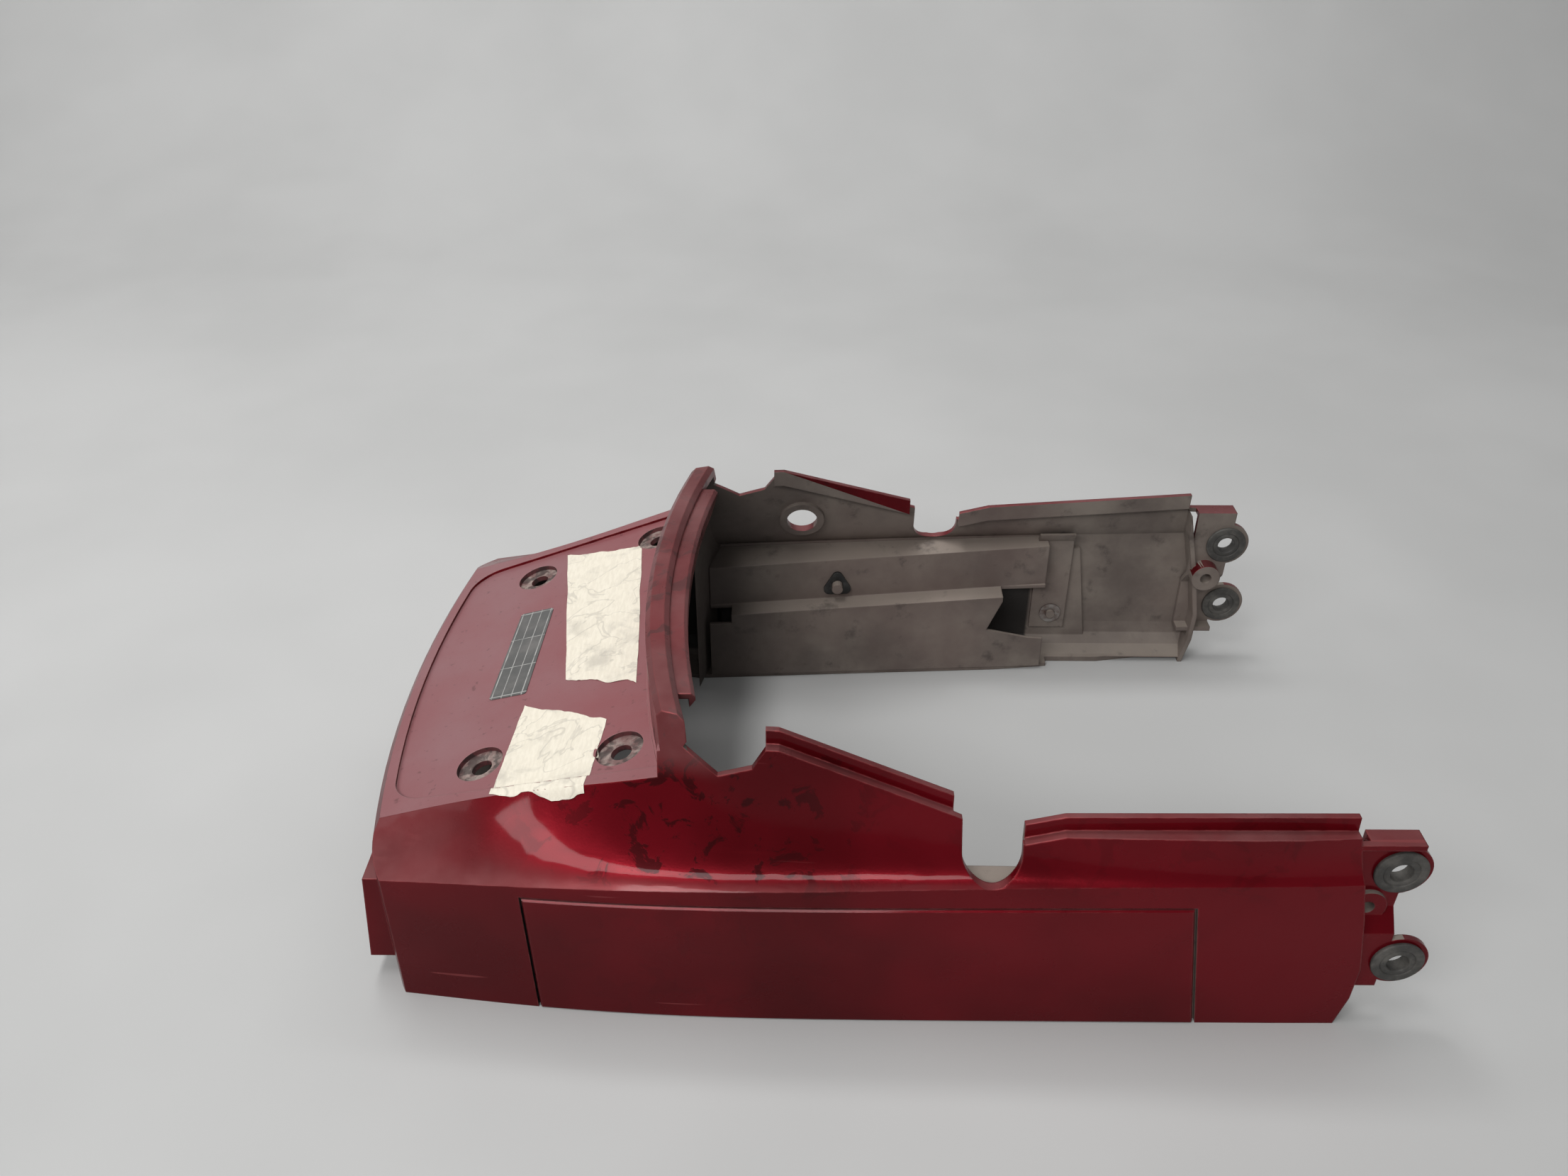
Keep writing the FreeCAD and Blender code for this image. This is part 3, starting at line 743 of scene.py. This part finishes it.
@dataclass(frozen=True)
class BarePlate:
    """Blank dark-grey plate with pale ruled lines and nothing in its fields.

    Each rule is a pair of lines: the axis it is measured on, its distance from the middle and its width,
    as shares of the plate.
    """

    face: Colour = (0.075, 0.0760, 0.0740)
    rule: Colour = (0.420, 0.4180, 0.3980)
    dust: Colour = (0.200, 0.1850, 0.1750)
    share_map: str = "plate_share"
    rules: Sequence[tuple[str, float, float]] = (
        ("X", 0.482, 0.010), ("Y", 0.435, 0.036), ("Y", 0.145, 0.026), ("X", 0.165, 0.007))
    rule_ends: Range = (0.55, 0.35)
    faded: Cloud = Cloud(150.0, 5.0, 0.35, 0.70, 0.9, 0.35)
    dusty: Cloud = Cloud(60.0, 5.0, 0.40, 0.75, 0.05, 0.40)
    gloss: Cloud = Cloud(50.0, 4.0, 0.3, 0.7, 0.30, 0.46)
    grain: Grain = Grain(800.0, 3.0, 0.00005, 0.5)
    edge: float = 0.0002

    def ruled(self, s: Shader) -> Socket:
        """Mark the plate's ruled lines.

        Args:
            s: Shader of the plate.

        Returns:
            The mask socket.
        """
        node = s.tree.nodes.new("ShaderNodeUVMap")
        node.uv_map = self.share_map
        outer, inner = self.rule_ends
        lines = None
        for axis, half, width in self.rules:
            away = s.off(s.off(s.part_of(node.outputs["UV"], axis), 0.5), half)
            pair = s.span(away, width * outer, width * inner)
            lines = pair if lines is None else s.calc("MAXIMUM", lines, pair)
        return lines

    def material(self) -> bpy.types.Material:
        """Build the plate's material.

        Returns:
            The material.
        """
        s = Shader("bare_plate")
        colour = s.mix(s.times(self.ruled(s), s.cloud(self.faded)), self.face, self.rule)
        colour = s.mix(s.cloud(self.dusty), colour, self.dust)
        return s.finish(colour, s.cloud(self.gloss), s.grained(self.grain, s.round_edges(self.edge)))


@dataclass
class TailCowl:
    """The one-piece cowl, its faces sorted into outside paint, deck, pockets and inside."""

    node: str = "tail_cowl"
    holes: Sequence[Range] = ((57.0, 84.5), (57.0, -84.5), (128.5, 97.0), (128.5, -97.0))
    pocket: float = 0.0128
    pocket_lift: Range = (-0.0085, -0.0019)
    pocket_ceiling: float = -0.5
    deck_lift: float = -0.0025
    deck_dot: float = 0.98
    tab_start: float = 0.2110
    tab_out: float = 0.3
    rear_end: float = -0.2150
    rear_dot: float = -0.4
    downward: float = -0.35
    foot_height: float = 0.03
    foot_up: float = 0.3
    arm_height: float = 0.085
    clear: float = 0.0004
    reach: float = 0.40
    nearby: float = 0.034
    tree: BVHTree = field(init=False, repr=False)

    def in_pocket(self, centre: Vector) -> bool:
        """Tell whether a face is part of a pocket in the deck.

        Args:
            centre: Middle of the face.

        Returns:
            True for the pockets' walls, floors and holes.
        """
        lowest, highest = self.pocket_lift
        for along, half in self.holes:
            off = centre - deck_place(along, half)
            lift = off.dot(DECK_NORMAL)
            if lowest < lift < highest and (off - DECK_NORMAL * lift).length < self.pocket:
                return True
        return False

    def faces_inside(self, centre: Vector, normal: Vector) -> bool:
        """Tell whether a face looks into the cowl, by what stands above it and in front of it.

        Args:
            centre: Middle of the face.
            normal: Its outward normal.

        Returns:
            True for a face of the inside.
        """
        if normal.z < self.downward or (centre.z < self.foot_height and normal.z > self.foot_up):
            return True
        start = centre + normal * self.clear
        if self.tree.ray_cast(start, Vector((0.0, 0.0, 1.0)), self.reach)[0] is not None:
            return True
        hit = self.tree.ray_cast(start, normal, self.reach)
        return hit[0] is not None and (hit[3] > self.nearby or centre.z < self.arm_height)

    def skin_of(self, centre: Vector, normal: Vector) -> Skin:
        """Choose the finish of a face.

        Args:
            centre: Middle of the face.
            normal: Its outward normal.

        Returns:
            The finish.
        """
        if normal.z > self.pocket_ceiling and self.in_pocket(centre):
            return Skin.POCKET
        lift = (centre - deck_place(0.0, 0.0)).dot(DECK_NORMAL)
        if lift > self.deck_lift and normal.dot(DECK_NORMAL) > self.deck_dot:
            return Skin.DECK
        if centre.x > self.tab_start and normal.y * centre.y > self.tab_out * abs(centre.y):
            return Skin.PAINT
        if centre.x < self.rear_end and normal.x < self.rear_dot and normal.z > self.downward:
            return Skin.PAINT
        return Skin.INSIDE if self.faces_inside(centre, normal) else Skin.PAINT

    def build(self) -> bpy.types.Object:
        """Copy the cowl's mesh and give each face its finish.

        Returns:
            The cowl.
        """
        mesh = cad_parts[self.node].data.copy()
        mesh.name = "cowl_shell"
        mesh.materials.clear()
        points = [v.co for v in mesh.vertices]
        self.tree = BVHTree.FromPolygons(points, [tuple(p.vertices) for p in mesh.polygons])
        for face in mesh.polygons:
            face.material_index = self.skin_of(face.center.copy(), face.normal.copy()).value
        obj = mesh_object("cowl_shell", mesh)
        for finish in (WinePaint(), DeckPaint(), Overspray(), PocketDirt()):
            mesh.materials.append(finish.material())
        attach(obj, "root")
        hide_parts(self.node)
        return obj


@dataclass
class DressedNodes:
    """Pieces that keep their own shape and get a finish."""

    finish: Finish
    nodes: Sequence[str]

    def dress(self) -> list[bpy.types.Object]:
        """Give each piece the finish.

        Returns:
            The pieces.
        """
        material = self.finish.material()
        pieces = [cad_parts[name] for name in self.nodes]
        for piece in pieces:
            for slot in piece.material_slots:
                slot.material = material
        return pieces


@dataclass
class Grommets:
    """Flanged rubber rings in the eyes of the front tabs.

    The groove around the bore is given as distances out from the bore and down from the rim.
    """

    node: str = "tab_grommets"
    eyes: Sequence[Point] = ((0.2320, 0.1425, 0.0910), (0.2400, 0.1505, 0.0405))
    bore: float = 0.0052
    radius: float = 0.0124
    neck: float = 0.0085
    half_neck: float = 0.0015
    flange: float = 0.0020
    undercut: float = 0.0003
    round_off: float = 0.0009
    round_steps: int = 5
    groove: Sequence[Range] = ((0.0034, 0.0), (0.0029, 0.0005), (0.0024, 0.0001))
    lip: float = 0.0007
    lip_steps: int = 4
    steps: int = 56
    sharp: float = 40.0

    def profile(self) -> list[Range]:
        """Give the ring's section as radius and distance along the axis.

        Returns:
            The points of the closed section.
        """
        rim = self.half_neck + self.flange
        r = self.round_off
        half = [(self.neck, 0.0), (self.neck, self.half_neck), (self.radius - self.undercut, self.half_neck)]
        for step in range(self.round_steps + 1):
            angle = math.pi / 2 * step / self.round_steps
            half.append((self.radius - r + r * math.cos(angle), rim - r + r * math.sin(angle)))
        half += [(self.bore + out, rim - down) for out, down in self.groove]
        r = self.lip
        for step in range(self.lip_steps + 1):
            angle = math.pi / 2 + math.pi / 2 * step / self.lip_steps
            half.append((self.bore + r + r * math.cos(angle), rim - r + r * math.sin(angle)))
        return half + [(x, -y) for x, y in reversed(half[1:])]

    def turn(self, bm: bmesh.types.BMesh, centre: Vector) -> None:
        """Turn the section about the axis of one eye.

        Args:
            bm: Mesh that takes the ring.
            centre: Middle of the eye.
        """
        points = self.profile()
        rings = []
        for step in range(self.steps):
            angle = 2 * math.pi * step / self.steps
            c, s = math.cos(angle), math.sin(angle)
            rings.append([bm.verts.new(centre + Vector((r * c, y, r * s))) for r, y in points])
        for a, b in zip(rings, rings[1:] + rings[:1]):
            for i in range(len(points)):
                j = (i + 1) % len(points)
                bm.faces.new((a[i], a[j], b[j], b[i]))

    def build(self) -> bpy.types.Object:
        """Build the rings of both sides as one piece.

        Returns:
            The rings.
        """
        bm = bmesh.new()
        for sign in (1, -1):
            for x, y, z in self.eyes:
                self.turn(bm, Vector((x, sign * y, z)))
        bmesh.ops.recalc_face_normals(bm, faces=bm.faces)
        mesh = mesh_from("grommet_rings", bm)
        mesh.shade_smooth()
        mesh.set_sharp_from_angle(angle=math.radians(self.sharp))
        obj = mesh_object("grommet_rings", mesh)
        mesh.materials.append(GrommetRubber().material())
        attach(obj, "root")
        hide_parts(self.node)
        return obj


@dataclass
class TapePatch:
    """Patch of paper tape laid on the cowl, with torn ends and creases.

    The four corners go round the patch. Waves, nicks, wobble and creases are noise with cells as shares of
    the patch.
    """

    node: str
    corners: Sequence[Range]
    tree: BVHTree
    seed: float
    lift: float = 0.00022
    rows: int = 72
    columns: int = 26
    bridge: float = 0.0005
    bridge_steps: int = 4
    probe: float = 0.004
    probe_reach: float = 0.06
    tear: float = 0.0030
    tear_power: int = 8
    waves: float = 4.0
    nicks: float = 19.0
    nick_share: float = 0.22
    nick_seed: float = 3.0
    far_end: float = 5.0
    wobbles: float = 7.0
    wobble: float = 0.0006
    crease_across: Range = (2.5, 3.0)
    crease_along: Range = (4.0, 11.0)
    crease_width: float = 0.06
    crease: float = 0.00035

    def depth(self, point: Vector) -> float:
        """Measure how far the cowl's surface lies above the deck plane at a point, negative for below.

        Args:
            point: Point of the deck plane.

        Returns:
            The height in metres.
        """
        hit = self.tree.ray_cast(point + DECK_NORMAL * self.probe, -DECK_NORMAL, self.probe_reach)
        return 0.0 if hit[0] is None else (hit[0] - point).dot(DECK_NORMAL)

    def surface(self, point: Vector, run: Vector) -> Vector:
        """Lay a point of the deck plane on the cowl, so that the tape bridges steps.

        Args:
            point: Point of the deck plane.
            run: Direction along the tape.

        Returns:
            The point on or just above the cowl's surface.
        """
        lifts = []
        for step in range(-self.bridge_steps, self.bridge_steps + 1):
            lifts.append(self.depth(point + run * (step * self.bridge)) - abs(step) * self.bridge)
        return point + DECK_NORMAL * max(lifts)

    def torn(self, s: float, t: float, length: float) -> float:
        """Move a row's share along the tape where it is torn, near both ends.

        Args:
            s: Share across the tape.
            t: Share along the tape.
            length: Length of the tape.

        Returns:
            The moved share along the tape.
        """
        end = 0.0 if t < 0.5 else self.far_end
        wave = noise.noise(Vector((s * self.waves, self.seed, end)))
        nick = noise.noise(Vector((s * self.nicks, self.seed + self.nick_seed, end)))
        pull = (wave + self.nick_share * nick) * self.tear / length
        return t + pull * (2 * t - 1) ** self.tear_power * (1 if t > 0.5 else -1)

    def creased(self, s: float, t: float) -> float:
        """Give the height of the creases at a place.

        Args:
            s: Share across the tape.
            t: Share along the tape.

        Returns:
            The height in metres.
        """
        across = s * self.crease_across[0] + t * self.crease_across[1]
        along = t * self.crease_along[1] + s * self.crease_along[0]
        fold = noise.noise(Vector((across, along, self.seed)))
        return max(0.0, 1.0 - abs(fold) / self.crease_width) * self.crease

    def build(self, material: bpy.types.Material) -> bpy.types.Object:
        """Build the sheet on the cowl.

        Args:
            material: The paper.

        Returns:
            The sheet.
        """
        a, b, c, d = (deck_place(along, half) for along, half in self.corners)
        length = ((d - a).length + (c - b).length) / 2
        run = ((d + c) - (a + b)).normalized()
        bm = bmesh.new()
        grid: list[list[bmesh.types.BMVert]] = []
        for i in range(self.rows + 1):
            row = []
            for j in range(self.columns + 1):
                s = j / self.columns
                t = self.torn(s, i / self.rows, length)
                point = (a * (1 - s) + b * s) * (1 - t) + (d * (1 - s) + c * s) * t
                side = noise.noise(Vector((self.seed, t * self.wobbles, s))) * self.wobble
                point = self.surface(point + (b - a).normalized() * side, run)
                row.append(bm.verts.new(point + DECK_NORMAL * (self.lift + self.creased(s, t))))
            grid.append(row)
        for upper, lower in zip(grid, grid[1:]):
            for j in range(self.columns):
                bm.faces.new((upper[j], upper[j + 1], lower[j + 1], lower[j]))
        bmesh.ops.recalc_face_normals(bm, faces=bm.faces)
        mesh = mesh_from(self.node + "_sheet", bm)
        mesh.shade_smooth()
        obj = mesh_object(self.node + "_sheet", mesh)
        mesh.materials.append(material)
        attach(obj, "root")
        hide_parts(self.node)
        return obj


@dataclass
class DeckPlate:
    """Blank plate stuck on the deck's floor, which lies a little below the deck plane."""

    corners: Sequence[Range] = ((54.2, 45.9), (73.3, 45.0), (71.1, -34.0), (50.8, -32.5))
    floor: float = -0.0018
    thick: float = 0.0004
    round_off: float = 0.0018
    round_steps: int = 5
    same_length: float = 1e-6

    def build(self) -> bpy.types.Object:
        """Build the plate with rounded corners and a UV map across it.

        Returns:
            The plate.
        """
        finish = BarePlate()
        places = [deck_place(along, half, self.floor) for along, half in self.corners]
        bm = bmesh.new()
        bottom = bm.faces.new([bm.verts.new(p) for p in places])
        top = bmesh.ops.extrude_face_region(bm, geom=[bottom])
        raised = [v for v in top["geom"] if isinstance(v, bmesh.types.BMVert)]
        bmesh.ops.translate(bm, verts=raised, vec=DECK_NORMAL * self.thick)
        upright = [e for e in bm.edges if abs(e.calc_length() - self.thick) < self.same_length]
        bmesh.ops.bevel(bm, geom=upright, offset=self.round_off, segments=self.round_steps, affect="EDGES",
                        profile=0.5)
        bmesh.ops.recalc_face_normals(bm, faces=bm.faces)
        layer = bm.loops.layers.uv.new(finish.share_map)
        a, b, _, d = places
        for face in bm.faces:
            for loop in face.loops:
                p = loop.vert.co
                across = (p - a).dot((d - a).normalized()) / (d - a).length
                along = (p - a).dot((b - a).normalized()) / (b - a).length
                loop[layer].uv = (across, along)
        mesh = mesh_from("deck_plate", bm)
        obj = mesh_object("deck_plate", mesh)
        mesh.materials.append(finish.material())
        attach(obj, "root")
        return obj


@dataclass(frozen=True)
class Lamp:
    """Soft rectangular lamp, its sides in metres and its power in watts."""

    name: str
    place: Point
    aim: Point
    size: Range
    power: float

    def hang(self) -> None:
        """Put the lamp into the scene."""
        data = bpy.data.lights.new(self.name, "AREA")
        data.shape = "RECTANGLE"
        data.size, data.size_y = self.size
        data.energy = self.power
        obj = bpy.data.objects.new(self.name, data)
        obj.location = self.place
        obj.rotation_euler = (Vector(self.aim) - Vector(self.place)).to_track_quat("-Z", "Y").to_euler()
        bpy.context.scene.collection.objects.link(obj)


@dataclass(frozen=True)
class FloorPaper:
    """Matt pale-grey paper of the floor and backdrop."""

    dark: Colour = (0.43, 0.43, 0.425)
    pale: Colour = (0.47, 0.47, 0.465)
    shades: Cloud = Cloud(3.0, 3.0, 0.3, 0.7)
    grain: Grain = Grain(400.0, 2.0, 0.0001, 0.2)
    rough: float = 0.8

    def material(self) -> bpy.types.Material:
        """Build the paper's material.

        Returns:
            The material.
        """
        s = Shader("floor_paper")
        shade = s.mix(s.cloud(self.shades), self.dark, self.pale)
        return s.finish(shade, self.rough, s.grained(self.grain))


@dataclass
class Studio:
    """Pale floor and backdrop, soft lamps and the camera."""

    eye: Point = (-0.04295, -0.56231, 0.51620)
    right: Point = (0.99996, 0.00940, -0.00076)
    down: Point = (0.00452, -0.54753, -0.83677)
    ahead: Point = (-0.00828, 0.83673, -0.54755)
    focal_pixels: float = 1809.55
    image_width: float = 2212.0
    sensor: float = 36.0
    clip_start: float = 0.01
    floor_sides: Range = (-4.0, 4.0)
    floor_front: float = -3.0
    bend_start: float = 0.9
    bend_radius: float = 0.7
    bend_steps: int = 12
    backdrop_top: float = 3.2
    world_colour: Colour = (0.86, 0.87, 0.88)
    world_strength: float = 0.20
    lamps: Sequence[Lamp] = (
        Lamp("overhead", (-0.40, -0.05, 1.75), (-0.30, -0.05, 0.06), (1.5, 0.30), 15.0),
        Lamp("on_shoulder", (-0.80, -1.70, 1.60), (-0.1, -0.15, 0.09), (2.3, 0.42), 32.0),
        Lamp("on_backdrop", (-0.2, 0.60, 1.80), (-0.2, 1.5, 0.6), (2.6, 0.5), 16.0),
        Lamp("from_rear", (-1.6, -0.1, 1.0), (0.0, 0.0, 0.06), (1.0, 0.8), 5.0),
    )

    def camera(self) -> None:
        """Set the camera at the photographed angle."""
        data = bpy.data.cameras.new("camera")
        data.sensor_fit = "HORIZONTAL"
        data.sensor_width = self.sensor
        data.lens = self.focal_pixels / self.image_width * self.sensor
        data.clip_start = self.clip_start
        obj = bpy.data.objects.new("camera", data)
        columns = Matrix((Vector(self.right), -Vector(self.down), -Vector(self.ahead))).transposed()
        obj.matrix_world = Matrix.Translation(self.eye) @ columns.to_4x4()
        bpy.context.scene.collection.objects.link(obj)
        bpy.context.scene.camera = obj

    def floor(self) -> bpy.types.Object:
        """Build a pale floor that curves up into a backdrop.

        Returns:
            The floor.
        """
        path = [(self.floor_front, 0.0), (self.bend_start, 0.0)]
        for step in range(1, self.bend_steps + 1):
            angle = math.pi / 2 * step / self.bend_steps
            rise = self.bend_radius * (1 - math.cos(angle))
            path.append((self.bend_start + self.bend_radius * math.sin(angle), rise))
        path.append((self.bend_start + self.bend_radius, self.backdrop_top))
        bm = bmesh.new()
        rows = [[bm.verts.new((x, y, z)) for x in self.floor_sides] for y, z in path]
        for a, b in zip(rows, rows[1:]):
            bm.faces.new((a[0], a[1], b[1], b[0]))
        mesh = mesh_from("studio_floor", bm)
        mesh.shade_smooth()
        obj = mesh_object("studio_floor", mesh)
        mesh.materials.append(FloorPaper().material())
        return obj

    def lights(self) -> None:
        """Hang the lamps and set a grey world."""
        for lamp in self.lamps:
            lamp.hang()
        world = bpy.data.worlds.new("studio")
        world.use_nodes = True
        back = world.node_tree.nodes["Background"]
        back.inputs["Color"].default_value = (*self.world_colour, 1.0)
        back.inputs["Strength"].default_value = self.world_strength
        bpy.context.scene.world = world
        bpy.context.scene.view_settings.view_transform = "Standard"


DRESSED = (
    DressedNodes(WinePaint(), ("side_panel_left", "side_panel_right")),
    DressedNodes(Overspray(), ("inner_channel_left", "inner_channel_right")),
    DressedNodes(ClipPlastic(), ("retainer_clips",)),
    DressedNodes(WasherSteel(), ("stud_washers",)),
)
CENTRE_TAPE = ((73.0, 101.0), (120.0, 91.0), (131.5, -47.0), (92.0, -30.0))
SIDE_TAPE = ((72.5, -43.0), (119.5, -72.0), (115.0, -124.0), (68.0, -113.0))


def main() -> None:
    """Build the dressed part and the studio, and report each piece."""
    logging.basicConfig(level=logging.INFO)
    cowl = TailCowl()
    LOG.info("cowl with %d faces", len(cowl.build().data.polygons))
    for nodes in DRESSED:
        for piece in nodes.dress():
            LOG.info("dressed %s", piece.name)
    LOG.info("grommets %s", Grommets().build().name)
    paper = PaperTape().material()
    for name, corners, seed in (("centre", CENTRE_TAPE, 1.7), ("side", SIDE_TAPE, 6.3)):
        LOG.info("tape %s", TapePatch(f"tape_patch_{name}", corners, cowl.tree, seed).build(paper).name)
    LOG.info("plate %s", DeckPlate().build().name)
    studio = Studio()
    studio.camera()
    studio.floor()
    studio.lights()


if __name__ == "__main__":
    main()
